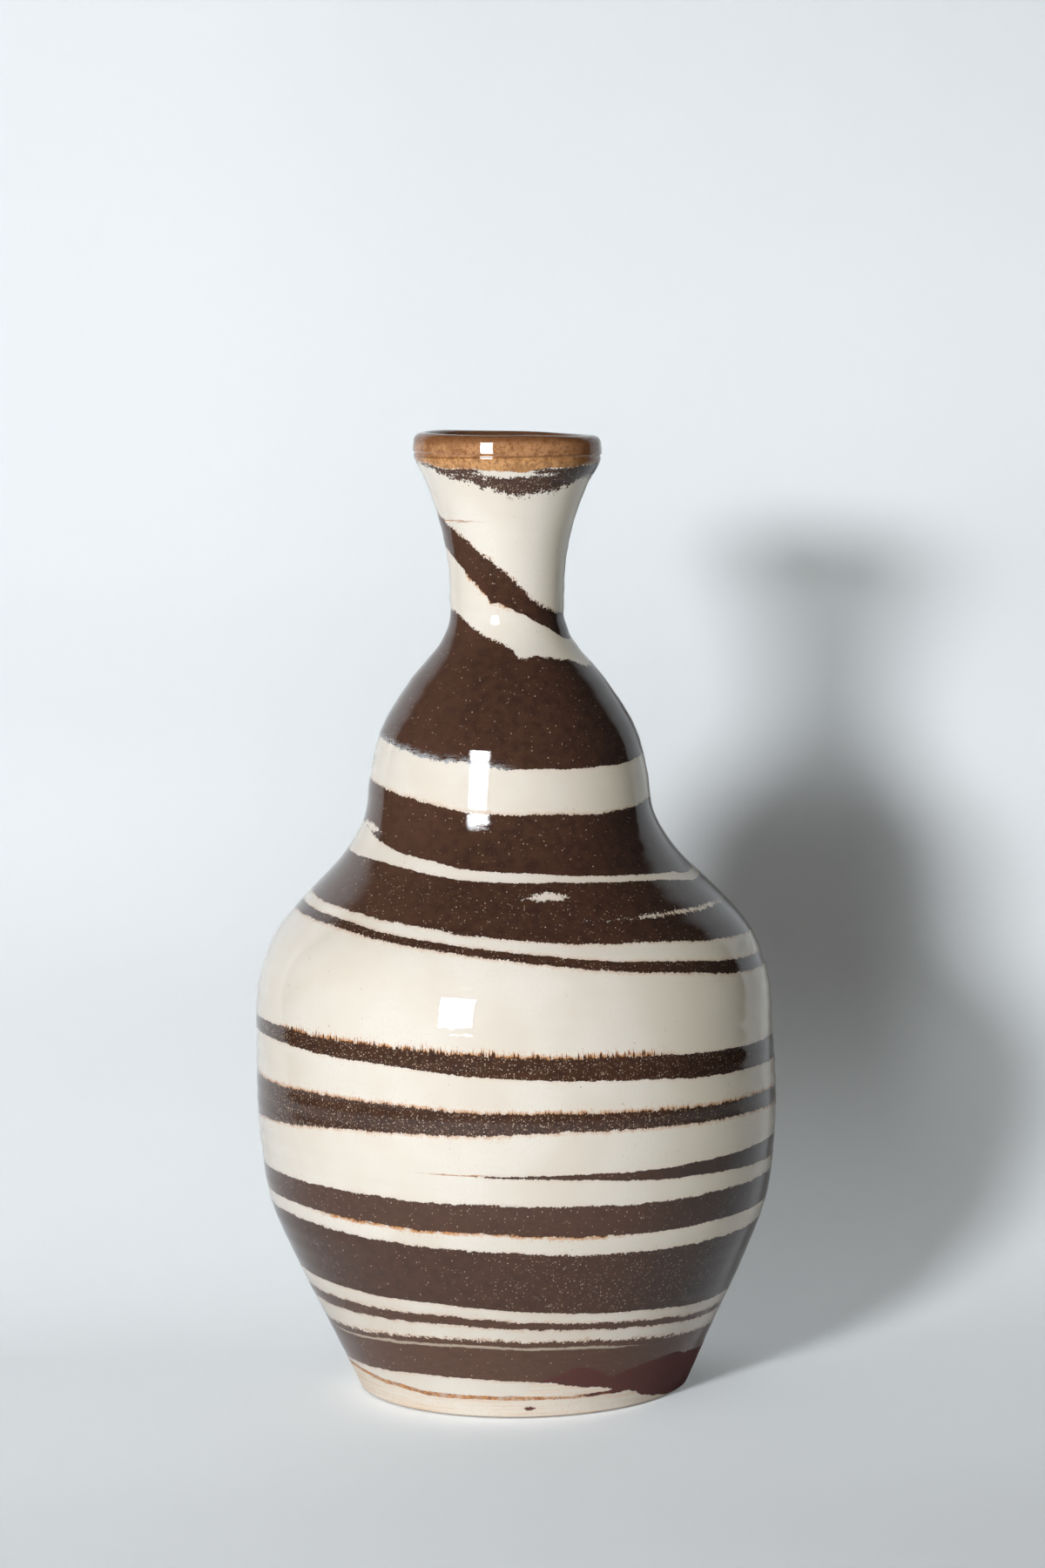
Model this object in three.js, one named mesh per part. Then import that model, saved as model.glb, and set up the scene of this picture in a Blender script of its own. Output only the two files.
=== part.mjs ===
// A hand-thrown vase of marbled clay: white and brown clay laid up in layers and thrown together,
// so that every layer is a closed ring that runs right through the wall, a few degrees off level.
// Millimetres, +Z up. The foot stands on z = 0 and the front of the vase faces -Y, so that the
// left side is at -X and the right side at +X.

import * as THREE from 'three';
import { mergeVertices, toCreasedNormals } from 'three/addons/utils/BufferGeometryUtils.js';

// The main sizes: the height to the top of the lip, and the outer radii.
const HEIGHT = 230;
const FOOT_RADIUS = 39.8;
const BELLY_RADIUS = 62.5;
const BULB_RADIUS = 33.3;
const NECK_RADIUS = 13.8;
const MOUTH_RADIUS = 22.4;

// How far the outline has swung out or in, at each station, from the main radius it belongs to.
const SWING = {
  heel: 5.5,
  lowerBelly: -7.8,
  bellySwell: -2.3,
  bellyBottom: -0.2,
  bellyTop: -1.6,
  shoulder: -5.4,
  shoulderSlope: -13.1,
  shoulderFoot: 7.3,
  waist: 1.8,
  bulbTop: -3,
  bulbSlope: -9.8,
  neckFoot: 1.2,
  flare: 1.8,
  throat: -3.1,
};

// The outer radius at each station of the outline, from the foot up.
const RADIUS = {
  foot: FOOT_RADIUS,
  heel: FOOT_RADIUS + SWING.heel,
  lowerBelly: BELLY_RADIUS + SWING.lowerBelly,
  bellySwell: BELLY_RADIUS + SWING.bellySwell,
  bellyBottom: BELLY_RADIUS + SWING.bellyBottom,
  belly: BELLY_RADIUS,
  bellyTop: BELLY_RADIUS + SWING.bellyTop,
  shoulder: BELLY_RADIUS + SWING.shoulder,
  shoulderSlope: BELLY_RADIUS + SWING.shoulderSlope,
  shoulderFoot: BULB_RADIUS + SWING.shoulderFoot,
  waist: BULB_RADIUS + SWING.waist,
  bulb: BULB_RADIUS,
  bulbTop: BULB_RADIUS + SWING.bulbTop,
  bulbSlope: BULB_RADIUS + SWING.bulbSlope,
  neckFoot: NECK_RADIUS + SWING.neckFoot,
  neck: NECK_RADIUS,
  flare: NECK_RADIUS + SWING.flare,
  throat: MOUTH_RADIUS + SWING.throat,
  mouth: MOUTH_RADIUS,
};

// How far each station stands above the one before it. The two rises that aren't given, up to the
// belly's widest point and on to its top, take up what the height leaves.
const RISE = {
  heel: 12,
  lowerBelly: 20,
  bellySwell: 14,
  bellyBottom: 14,
  shoulder: 9,
  shoulderSlope: 9,
  shoulderFoot: 9,
  waist: 9,
  bulb: 11,
  bulbTop: 11,
  bulbSlope: 11,
  neckFoot: 11,
  neck: 10,
  flare: 15,
  throat: 11,
  mouth: 7,
};
const WIDEST_AT = 4 / 7; // where the belly is widest, on the way from its bottom to its top
const MOUTH_BAND = 2.9; // upright band between the flare and the rounded lip

// The wall, the heel's extra clay, the floor and the trimmed foot ring.
const WALL = 4.2;
const HEEL_EXTRA = 3;
const HEEL_HEIGHT = 40;
const FLOOR = 6.5;
const FLOOR_FILLET = 4;
const FOOT_RECESS = 2;
const FOOT_RING_WIDTH = 5.5;
const FOOT_EDGE = 0.6;

// What the hand left: the centre line bows sideways, and the mouth hangs lower on the right.
const BOW = 1.2;
const MOUTH_DROP = 1.6;

// The layers from the floor to the lip, with their heights on the left, the front and the right.
// The back lies midway between the sides.
const WHITE = { color: 0xe6ded0, roughness: 0.18 };
const BROWN = { color: 0x4b382e, roughness: 0.2 };
const AMBER = { color: 0xb07a40, roughness: 0.22 };
const LAYERS = [
  { name: 'foot_and_floor', clay: WHITE, left: 8.3, front: 9.8, right: 1.6 },
  { name: 'foot_brown_band', clay: BROWN, left: 10.5, front: 10.6, right: 13.9 },
  { name: 'foot_white_band', clay: WHITE, left: 5.7, front: 3.4, right: 4.1 },
  { name: 'lower_brown_thread', clay: BROWN, left: 3.1, front: 1.9, right: 1.6 },
  { name: 'lower_white_band', clay: WHITE, left: 4.3, front: 2.8, right: 3 },
  { name: 'belly_brown_broad', clay: BROWN, left: 16.1, front: 15, right: 17.7 },
  { name: 'belly_white_narrow', clay: WHITE, left: 3.2, front: 4.5, right: 4.4 },
  { name: 'belly_brown_middle', clay: BROWN, left: 5.9, front: 7.2, right: 6.8 },
  { name: 'belly_white_under_sliver', clay: WHITE, left: 5.4, front: 6.6, right: 2.9 },
  { name: 'belly_brown_sliver', clay: BROWN, left: 0, front: 0.6, right: 5.4, runsOut: true },
  { name: 'belly_white_over_sliver', clay: WHITE, left: 5.4, front: 9.9, right: 7.3 },
  { name: 'belly_brown_grainy', clay: BROWN, left: 9.9, front: 4.7, right: 4.2 },
  { name: 'belly_white_upper', clay: WHITE, left: 10.8, front: 8.1, right: 6.7 },
  { name: 'belly_brown_upper', clay: BROWN, left: 3.4, front: 4.9, right: 5.7 },
  { name: 'belly_white_broad', clay: WHITE, left: 25.2, front: 21.1, right: 16.9 },
  { name: 'shoulder_brown_thread', clay: BROWN, left: 2, front: 1.8, right: 3.5 },
  { name: 'shoulder_white_thread', clay: WHITE, left: 2.3, front: 3, right: 4.9 },
  { name: 'shoulder_brown_broad', clay: BROWN, left: 9.8, front: 11.2, right: 13.6 },
  { name: 'shoulder_white_seam', clay: WHITE, left: 6.3, front: 2, right: 2.4 },
  { name: 'waist_brown_band', clay: BROWN, left: 10.9, front: 12.9, right: 16.6 },
  { name: 'bulb_white_band', clay: WHITE, left: 11.9, front: 11.1, right: 9.9 },
  { name: 'bulb_brown_broad', clay: BROWN, left: 28.3, front: 27.1, right: 20.3 },
  { name: 'neck_white_lower', clay: WHITE, left: 13.8, front: 8.7, right: 6.3 },
  { name: 'neck_brown_diagonal', clay: BROWN, left: 9.1, front: 8.1, right: 7 },
  { name: 'neck_white_upper', clay: WHITE, left: 10, front: 19.5, right: 32.6 },
  { name: 'mouth_brown_band', clay: BROWN, left: 0.3, front: 4.9, right: 3.4 },
  { name: 'amber_rim', clay: AMBER, left: 5.6, front: 6.5, right: 5.2 },
];
const THINNEST_LAYER = 0.8;
const SLIVER_TIP = 0.2; // a layer that runs out ends where it is thinner than this

// How finely the surface is divided.
const SIDES = 40;
const OUTER_ROW = 6;
const INNER_ROW = 9;
const LIP_STEPS = 6;

const FLOOR_TOP = FOOT_RECESS + FLOOR;
const LIP_RADIUS = WALL / 2;
const LIP_SPRING = HEIGHT - LIP_RADIUS;
const sum = (values) => values.reduce((total, value) => total + value, 0);
const BELLY_RISE = LIP_SPRING - MOUTH_BAND - sum(Object.values(RISE));
const RISES = Object.keys(RADIUS).slice(1).map((station) => {
  if (station === 'belly') return BELLY_RISE * WIDEST_AT;
  if (station === 'bellyTop') return BELLY_RISE * (1 - WIDEST_AT);
  return RISE[station];
});
const STATION_RADII = Object.values(RADIUS);
const STATION_HEIGHTS = [0];
for (const rise of RISES) STATION_HEIGHTS.push(STATION_HEIGHTS.at(-1) + rise);
const STATION_SLOPES = STATION_RADII.map(stationSlope);
const heightOf = (station) => STATION_HEIGHTS[Object.keys(RADIUS).indexOf(station)];

// The outline leaves the foot straight, is upright at the mouth, and in between leans as the
// parabola through a station and its two neighbours does.
function stationSlope(radius, i, radii) {
  const last = radii.length - 1;
  if (i === last) return 0;
  const above = (radii[i + 1] - radius) / RISES[i];
  if (i === 0) return above;
  const below = (radius - radii[i - 1]) / RISES[i - 1];
  return (below * RISES[i] + above * RISES[i - 1]) / (RISES[i - 1] + RISES[i]);
}

// The outer radius and the slope of the outline at one height.
function outlineAt(height) {
  if (height >= heightOf('mouth')) return { radius: MOUTH_RADIUS, slope: 0 };
  const i = STATION_HEIGHTS.findIndex((stationHeight) => stationHeight > height) - 1;
  const rise = RISES[i];
  const t = (height - STATION_HEIGHTS[i]) / rise;
  const [r0, r1] = [STATION_RADII[i], STATION_RADII[i + 1]];
  const [m0, m1] = [STATION_SLOPES[i] * rise, STATION_SLOPES[i + 1] * rise];
  const bend = 2 * (r0 - r1) + m0 + m1;
  const lean = 3 * (r1 - r0) - 2 * m0 - m1;
  const radius = ((bend * t + lean) * t + m0) * t + r0;
  const slope = ((3 * bend * t + 2 * lean) * t + m0) / rise;
  return { radius, slope };
}

function outerPoint(height) {
  return new THREE.Vector2(outlineAt(height).radius, height);
}

// The point on the inner wall that belongs to a height on the outside. Layers lie level through
// the wall, and near the foot they climb to the top of the floor.
function innerPoint(outerHeight) {
  const heelReach = 3.5 * FLOOR_TOP;
  const climb = Math.max(0, 1 - outerHeight / heelReach) ** 2;
  const height = outerHeight + (FLOOR_TOP + FLOOR_FILLET / 3) * climb;
  const { radius, slope } = outlineAt(height);
  const heel = HEEL_EXTRA * Math.max(0, 1 - height / HEEL_HEIGHT) ** 2;
  return new THREE.Vector2(radius - (WALL + heel) * Math.hypot(1, slope), height);
}

// A layer's height at one azimuth, on the smoothest wave through its four sides. Azimuth 0 is the
// front, and it grows towards the right.
function layerHeight({ left, front, right, runsOut = false }, azimuth) {
  const back = (left + right) / 2;
  const mean = (left + front + right + back) / 4;
  const frontToBack = ((front - back) / 2) * Math.cos(azimuth);
  const leftToRight = ((right - left) / 2) * Math.sin(azimuth);
  const sidesToEnds = ((front + back - left - right) / 4) * Math.cos(2 * azimuth);
  const height = mean + frontToBack + leftToRight + sidesToEnds;
  if (runsOut) return height < SLIVER_TIP ? 0 : height;
  return Math.max(height, THINNEST_LAYER);
}

// The heights of the seams between the layers at one azimuth. The stack fills the wall from the
// foot to the spring of the lip, so it stretches a little with the form.
function seamHeights(azimuth) {
  const heights = LAYERS.map((layer) => layerHeight(layer, azimuth));
  const stretch = LIP_SPRING / sum(heights);
  const seams = [0];
  for (const height of heights) seams.push(seams.at(-1) + height * stretch);
  seams[LAYERS.length] = LIP_SPRING;
  return seams;
}

function rowCount({ left, front, right }, spacing) {
  return Math.ceil(Math.max(left, front, right) / spacing);
}

function outerRows(from, to, count) {
  return Array.from({ length: count + 1 }, (_, i) => outerPoint(THREE.MathUtils.lerp(from, to, i / count)));
}

function innerRows(from, to, count) {
  return Array.from({ length: count + 1 }, (_, i) => innerPoint(THREE.MathUtils.lerp(from, to, i / count)));
}

// Half a round from the outer wall over the top to the inner wall, without its two ends.
function lipArc() {
  const centre = outerPoint(LIP_SPRING).x - LIP_RADIUS;
  const points = [];
  for (let step = 1; step < LIP_STEPS; step += 1) {
    const turn = (Math.PI * step) / LIP_STEPS;
    const lift = LIP_RADIUS * Math.sin(turn);
    points.push(new THREE.Vector2(centre + LIP_RADIUS * Math.cos(turn), LIP_SPRING + lift));
  }
  return points;
}

// One layer's section at one azimuth: up the outside, across the seam above, and down the inside.
function layerSection(index, azimuth) {
  const layer = LAYERS[index];
  const [bottom, top] = seamHeights(azimuth).slice(index, index + 2);
  const outside = outerRows(bottom, top, rowCount(layer, OUTER_ROW));
  const inside = innerRows(top, bottom, rowCount(layer, INNER_ROW));
  const lip = index === LAYERS.length - 1 ? lipArc() : [];
  return [...outside, ...lip, ...inside];
}

// The lowest layer's section runs from the centre of the recess under the foot, round the foot
// ring and the outside, to the centre of the floor.
function footSection(azimuth) {
  const layer = LAYERS[0];
  const top = seamHeights(azimuth)[1];
  const ringOuter = FOOT_RADIUS - FOOT_EDGE;
  const ringInner = ringOuter - FOOT_RING_WIDTH;
  const corner = innerPoint(0);
  return [
    new THREE.Vector2(0, FOOT_RECESS),
    new THREE.Vector2(ringInner - FOOT_RECESS, FOOT_RECESS),
    new THREE.Vector2(ringInner, 0),
    new THREE.Vector2(ringOuter, 0),
    ...outerRows(FOOT_EDGE, top, rowCount(layer, OUTER_ROW)),
    ...innerRows(top, 0, rowCount(layer, INNER_ROW)),
    new THREE.Vector2(corner.x - FLOOR_FILLET, FLOOR_TOP),
    new THREE.Vector2(0, FLOOR_TOP),
  ];
}

// Places a section's point in the vase: on the bowed centre line, with the mouth's lean.
function place({ x: radius, y: height }, azimuth) {
  const bowAt = (level) => Math.sin(Math.PI * (level / HEIGHT) ** 1.5);
  const centre = BOW * (bowAt(heightOf('belly')) - bowAt(height));
  const lean = THREE.MathUtils.smoothstep(height, heightOf('neck'), LIP_SPRING);
  const across = radius * Math.sin(azimuth);
  const drop = (lean * MOUTH_DROP * across) / (2 * MOUTH_RADIUS);
  return new THREE.Vector3(centre + across, -radius * Math.cos(azimuth), height - drop);
}

// Joins the sections round the vase. A closed section ends where it starts, across the seam below,
// which is split along the same diagonal as the seam above the layer underneath.
function revolve(section, closed) {
  const columns = [];
  for (let side = 0; side < SIDES; side += 1) {
    const azimuth = (2 * Math.PI * side) / SIDES;
    columns.push(section(azimuth).map((point) => place(point, azimuth)));
  }
  const corners = [];
  const addTriangle = (a, b, c) => {
    if (!a.equals(b) && !b.equals(c) && !c.equals(a)) corners.push(a, b, c);
  };
  for (let side = 0; side < SIDES; side += 1) {
    const here = columns[side];
    const next = columns[(side + 1) % SIDES];
    if (closed && isPinched(here) && isPinched(next)) continue;
    for (let i = 0; i + 1 < here.length; i += 1) {
      addTriangle(here[i], next[i], next[i + 1]);
      addTriangle(here[i], next[i + 1], here[i + 1]);
    }
    if (closed) {
      const [innerHere, innerNext] = [here.at(-1), next.at(-1)];
      addTriangle(innerHere, innerNext, here[0]);
      addTriangle(innerNext, next[0], here[0]);
    }
  }
  const solid = mergeVertices(new THREE.BufferGeometry().setFromPoints(corners), 1e-5);
  return toCreasedNormals(solid, Math.PI / 6);
}

// True where a layer has run out, so that its outside has no height.
function isPinched(column) {
  return column[0].equals(column[1]);
}

const vase = new THREE.Group();
vase.name = 'marbled_clay_vase';
LAYERS.forEach((layer, index) => {
  const geometry = index === 0
    ? revolve(footSection, false)
    : revolve((azimuth) => layerSection(index, azimuth), true);
  const mesh = new THREE.Mesh(geometry, new THREE.MeshStandardMaterial({ ...layer.clay, metalness: 0 }));
  mesh.name = layer.name;
  vase.add(mesh);
});

export default vase;
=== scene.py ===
"""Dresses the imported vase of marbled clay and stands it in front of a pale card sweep.

Sizes are in millimetres until a mesh is made, and angles are in degrees unless a name says radians.
Azimuth 0 is the front of the vase, at -Y, and azimuth grows towards its right, +X.
"""

import math
from typing import NamedTuple

import bpy
import numpy as np
from mathutils import Matrix


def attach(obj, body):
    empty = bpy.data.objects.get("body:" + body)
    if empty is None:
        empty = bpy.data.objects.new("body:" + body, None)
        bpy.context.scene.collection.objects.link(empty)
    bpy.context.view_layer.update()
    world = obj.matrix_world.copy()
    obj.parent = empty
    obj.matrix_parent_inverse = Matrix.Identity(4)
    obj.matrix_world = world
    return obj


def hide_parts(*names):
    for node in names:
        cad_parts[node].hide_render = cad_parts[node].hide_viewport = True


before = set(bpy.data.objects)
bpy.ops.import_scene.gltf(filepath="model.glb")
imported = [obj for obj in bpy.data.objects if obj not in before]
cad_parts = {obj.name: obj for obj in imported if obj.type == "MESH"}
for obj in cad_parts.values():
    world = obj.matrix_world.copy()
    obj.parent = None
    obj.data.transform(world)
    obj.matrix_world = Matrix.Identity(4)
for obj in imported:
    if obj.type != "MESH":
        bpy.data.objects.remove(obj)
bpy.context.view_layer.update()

MM = 0.001

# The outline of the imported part: height and outer radius at each station.
STATIONS = np.array([
    (0, 39.8), (12, 45.3), (32, 54.7), (46, 60.2), (60, 62.3), (84, 62.5), (102, 60.9),
    (111, 57.1), (120, 49.4), (129, 40.6), (138, 35.1), (149, 33.3), (160, 30.3), (171, 23.5),
    (182, 15.0), (192, 13.8), (207, 15.6), (218, 19.3), (225, 22.4),
])
HEIGHT = 230
WALL = 4.2
LIP_RADIUS = WALL / 2
LIP_SPRING = HEIGHT - LIP_RADIUS
HEEL_EXTRA = 3
HEEL_HEIGHT = 40
FLOOR_FILLET = 4
FOOT_RECESS = 2
FLOOR_TOP = FOOT_RECESS + 6.5
FOOT_RING_WIDTH = 5.5
FOOT_EDGE = 0.6
BELLY_HEIGHT = 84
NECK_HEIGHT = 192
MOUTH_RADIUS = 22.4
BOW = 1.2
MOUTH_DROP = 1.6

# The layers from the floor to the lip: clay, and height on the left, the front and the right.
LAYERS = {
    "foot_and_floor": ("white", 8.3, 9.8, 1.6),
    "foot_brown_band": ("brown", 10.5, 10.6, 13.9),
    "foot_white_band": ("white", 5.7, 3.4, 4.1),
    "lower_brown_thread": ("brown", 3.1, 1.9, 1.6),
    "lower_white_band": ("white", 4.3, 2.8, 3),
    "belly_brown_broad": ("brown", 16.1, 15, 17.7),
    "belly_white_narrow": ("white", 3.2, 4.5, 4.4),
    "belly_brown_middle": ("brown", 5.9, 7.2, 6.8),
    "belly_white_under_sliver": ("white", 5.4, 6.6, 2.9),
    "belly_brown_sliver": ("brown", 0, 0.6, 5.4),
    "belly_white_over_sliver": ("white", 5.4, 9.9, 7.3),
    "belly_brown_grainy": ("brown", 9.9, 4.7, 4.2),
    "belly_white_upper": ("white", 10.8, 8.1, 6.7),
    "belly_brown_upper": ("brown", 3.4, 4.9, 5.7),
    "belly_white_broad": ("white", 25.2, 21.1, 16.9),
    "shoulder_brown_thread": ("brown", 2, 1.8, 3.5),
    "shoulder_white_thread": ("white", 2.3, 3, 4.9),
    "shoulder_brown_broad": ("brown", 9.8, 11.2, 13.6),
    "shoulder_white_seam": ("white", 6.3, 2, 2.4),
    "waist_brown_band": ("brown", 10.9, 12.9, 16.6),
    "bulb_white_band": ("white", 11.9, 11.1, 9.9),
    "bulb_brown_broad": ("brown", 28.3, 27.1, 20.3),
    "neck_white_lower": ("white", 13.8, 8.7, 6.3),
    "neck_brown_diagonal": ("brown", 9.1, 8.1, 7),
    "neck_white_upper": ("white", 10, 19.5, 32.6),
    "mouth_brown_band": ("brown", 0.3, 4.9, 3.4),
    "amber_rim": ("amber", 5.6, 6.5, 5.2),
}
NAMES = list(LAYERS)
CLAYS = [LAYERS[name][0] for name in NAMES]
RUNS_OUT = "belly_brown_sliver"
THINNEST_LAYER = 0.8
SLIVER_TIP = 0.2

# Where the top of a layer leaves its smooth wave: azimuth and millimetres up, eased in between.
KINKS = {
    "shoulder_white_thread": [
        (-100, 0), (-50, -0.3), (-26, 0), (-8, -0.45), (6, -0.5), (32, 0.35), (60, 0.3), (100, 0),
    ],
    "shoulder_brown_broad": [
        (-110, 0), (-50, 0.35), (-21, -0.1), (0, -0.15), (20, 0.85), (41, 1.05), (77, -0.15), (110, 0),
    ],
    "shoulder_white_seam": [
        (-100, 0), (-75, 0.9), (-56, -0.6), (-42, -1.1), (-23, -0.55), (-4, -0.2), (13, 0.65),
        (40, 1.0), (60, 0.3), (75, -0.6), (110, 0),
    ],
    "waist_brown_band": [(-95, 0), (-60, 0.3), (-20, -0.4), (15, 0.3), (60, 0)],
    "bulb_white_band": [
        (-110, 0), (-78, -1.8), (-56, -1.5), (-35, -1.7), (-17, -0.8), (17, 0.2), (45, 0.6),
        (62, 0.4), (100, 0),
    ],
    "bulb_brown_broad": [
        (-110, 0), (-72, -0.25), (-38, -0.6), (-13, -0.4), (5, 0.1), (7.6, -1.2), (26, 1.0),
        (48, 1.7), (70, 1.0), (110, 0),
    ],
    "neck_white_lower": [
        (-110, 0), (-75, 0.6), (-60, 0.1), (-48, -0.6), (-38, -1.1), (-29, -0.6), (-22, -0.7),
        (-17, -1.6), (-12, -1.4), (-6, 0.2), (7, 1.2), (20, 2.2), (39, 2.3), (60, 1.2), (110, 0),
    ],
    "neck_brown_diagonal": [
        (-110, 0), (-66, -0.7), (-50, -1.0), (-30, -0.5), (-12, 0.45), (12, 0.1), (24, -0.45),
        (45, -0.4), (76, 0.3), (110, 0),
    ],
    "neck_white_upper": [
        (-110, 0), (-62, 1.8), (-45, 1.3), (-12, 1.0), (4, -0.3), (22, -0.4), (36, 0.1), (51, 1.1),
        (62, 2.0), (110, 0),
    ],
    "mouth_brown_band": [
        (-110, 0), (-60, 1.0), (-40, 0.4), (-19, 0.8), (0, 0.45), (12, 0), (22, 0.6), (45, 0.7),
        (65, 1.1), (110, 0),
    ],
}

# Azimuth and height of the lines round the foot: where its brown clay gives way to white below, the
# lower edge of the glaze, and a streak drawn out in the white.
FOOT_BROWN_OVER = [
    (-180, 12), (0, 12), (7, 9.9), (13, 8.5), (20, 7.4), (34, 5.7), (38, 4.4), (43, 2.8), (50, 1.5),
    (62, 0), (75, -1.5), (110, -1.5), (150, 12), (180, 12),
]
GLAZE_EDGE = [
    (-180, 9), (-90, 8), (-69, 7.6), (-47, 6.6), (-30, 5.4), (-8, 5.6), (0, 6.3), (4, 9.5), (10, 11.4),
    (16.5, 13.2), (22, 12), (28, 9.6), (35, 11), (42, 12), (52, 12.4), (60, 11.2), (75, 10),
    (100, 11.5), (130, 10), (180, 9),
]
FOOT_STREAK = [
    (-180, 9), (-90, 8), (-69, 7.6), (-47, 6.4), (-30, 5.4), (-8, 5.5), (14, 5.2), (40, 5.4), (180, 6),
]

# What the potter's fingers left outside. A reach is a half width along the height.
RIPPLE = 0.028
RIPPLE_PITCH = 4.6
GROOVE_HEIGHT = 225.1
GROOVE_DEPTH = 0.22
GROOVE_REACH = 0.3
ROLL_HEIGHT = 225.3
ROLL_DEPTH = 0.16
PINCH_HEIGHT = 186.3
PINCH_DEPTH = 0.3
PINCH_REACH_BELOW = 2.2
PINCH_REACH_ABOVE = 4.5
FLAT_HEIGHT = 98.2
FLAT_DEPTH = 0.09
FLAT_REACH = 7

# How finely the surface is divided.
COLUMNS = 360
OUTER_ROW = 0.9
FINE_ROW = 0.3
INNER_ROW = 3
LIP_STEPS = 20
CAP_RADIUS = 4
ROUND_STEPS = 4

# Half the steps over which a surface's slope is taken: round, up, and over the lip.
TURN_STEP = 0.1
RISE_STEP = 0.05
LIP_TURN_STEP = 0.5

# Millimetres that stand for well inside a clay, and for nowhere near an edge or a line.
WELL_INSIDE = 3.0
FAR_OFF = 30.0


def smoothstep(low, high, value):
    t = np.clip((value - low) / (high - low), 0, 1)
    return t * t * (3 - 2 * t)


def eased(points, at):
    """Goes through the points (place, value), easing from each to the next."""
    places, values = np.array(points, float).T
    i = np.clip(np.searchsorted(places, at) - 1, 0, len(places) - 2)
    t = smoothstep(places[i], places[i + 1], at)
    return values[i] + (values[i + 1] - values[i]) * t


def station_slopes():
    """The outline leaves the foot straight, is upright at the mouth, and leans between as the
    parabola through a station and its two neighbours does."""
    rises, steps = np.diff(STATIONS, axis=0).T
    slopes = steps / rises
    inner = (slopes[:-1] * rises[1:] + slopes[1:] * rises[:-1]) / (rises[:-1] + rises[1:])
    return np.concatenate([slopes[:1], inner, [0]])


SLOPES = station_slopes()


def outline(height):
    """The outer radius and the slope of the smooth outline."""
    heights, radii = STATIONS.T
    level = np.clip(height, 0, heights[-1])
    i = np.clip(np.searchsorted(heights, level, side="right") - 1, 0, len(heights) - 2)
    rise = heights[i + 1] - heights[i]
    t = (level - heights[i]) / rise
    start, end = SLOPES[i] * rise, SLOPES[i + 1] * rise
    bend = 2 * (radii[i] - radii[i + 1]) + start + end
    lean = 3 * (radii[i + 1] - radii[i]) - 2 * start - end
    radius = ((bend * t + lean) * t + start) * t + radii[i]
    slope = ((3 * bend * t + 2 * lean) * t + start) / rise
    return radius, slope


def hump(height, middle, reach):
    """A smooth hump, 1 in its middle."""
    return np.exp(-(((height - middle) / reach) ** 2))


def thrown(azimuth, height):
    """What the potter's fingers left on the outside, in millimetres outward: a fine spiral, slower
    swells, the groove that sets off the rolled rim, the roll, the pinch where the neck leaves the
    bulb, and the flattening above the belly."""
    turn = np.radians(azimuth)
    unevenness = 1 + 0.5 * np.sin(height / 17 + 2 * turn)
    spiral = RIPPLE * np.sin(2 * np.pi * height / RIPPLE_PITCH + turn) * unevenness
    swell = 0.05 * np.sin(height / 6.3 + 1.1 + turn) + 0.06 * np.sin(2 * turn + height / 31)
    quiet = 1 - smoothstep(222, 225, height)
    ripples = (spiral + swell) * quiet * smoothstep(0, 3, height)
    groove = GROOVE_DEPTH * hump(height, GROOVE_HEIGHT, GROOVE_REACH)
    over = np.clip((height - ROLL_HEIGHT) / (LIP_SPRING - ROLL_HEIGHT), 0, 1)
    roll = ROLL_DEPTH * smoothstep(ROLL_HEIGHT - 0.15, ROLL_HEIGHT + 0.3, height) * (1 - over ** 2)
    pinch_reach = np.where(height > PINCH_HEIGHT, PINCH_REACH_ABOVE, PINCH_REACH_BELOW)
    pinch = PINCH_DEPTH * hump(height, PINCH_HEIGHT, pinch_reach)
    flat = FLAT_DEPTH * hump(height, FLAT_HEIGHT, FLAT_REACH)
    return ripples - groove + roll - pinch - flat


def placed(radius, azimuth, height):
    """Places points in the vase: on the bowed centre line, with the mouth's lean."""
    turn = np.radians(azimuth)

    def bow_at(level):
        return np.sin(np.pi * np.clip(level / HEIGHT, 0, 1) ** 1.5)

    centre = BOW * (bow_at(BELLY_HEIGHT) - bow_at(height))
    across = radius * np.sin(turn)
    lean = smoothstep(NECK_HEIGHT, LIP_SPRING, height)
    drop = lean * MOUTH_DROP * across / (2 * MOUTH_RADIUS)
    return np.stack([centre + across, -radius * np.cos(turn), height - drop], axis=-1)


def outer_wall(azimuth, height):
    return placed(outline(height)[0] + thrown(azimuth, height), azimuth, height)


def inner_height(outer_height):
    """Layers lie level through the wall, and near the foot they climb to the top of the floor."""
    climb = np.clip(1 - outer_height / (3.5 * FLOOR_TOP), 0, None) ** 2
    return outer_height + (FLOOR_TOP + FLOOR_FILLET / 3) * climb


def inner_wall(azimuth, outer_height):
    height = inner_height(outer_height)
    radius, slope = outline(height)
    heel = HEEL_EXTRA * np.clip(1 - height / HEEL_HEIGHT, 0, None) ** 2
    return placed(radius - (WALL + heel) * np.hypot(1, slope), azimuth, height)


def lip(azimuth, turn):
    """Half a round over the top of the wall, from its outside, at turn 0, to its inside, at 180."""
    angle = np.radians(turn)
    centre = MOUTH_RADIUS - LIP_RADIUS
    wobble = 0.12 * np.sin(np.radians(2 * azimuth + 40)) + 0.07 * np.sin(np.radians(5 * azimuth))
    height = LIP_SPRING + (LIP_RADIUS + wobble) * np.sin(angle)
    return placed(centre + LIP_RADIUS * np.cos(angle), azimuth, height)


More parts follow.
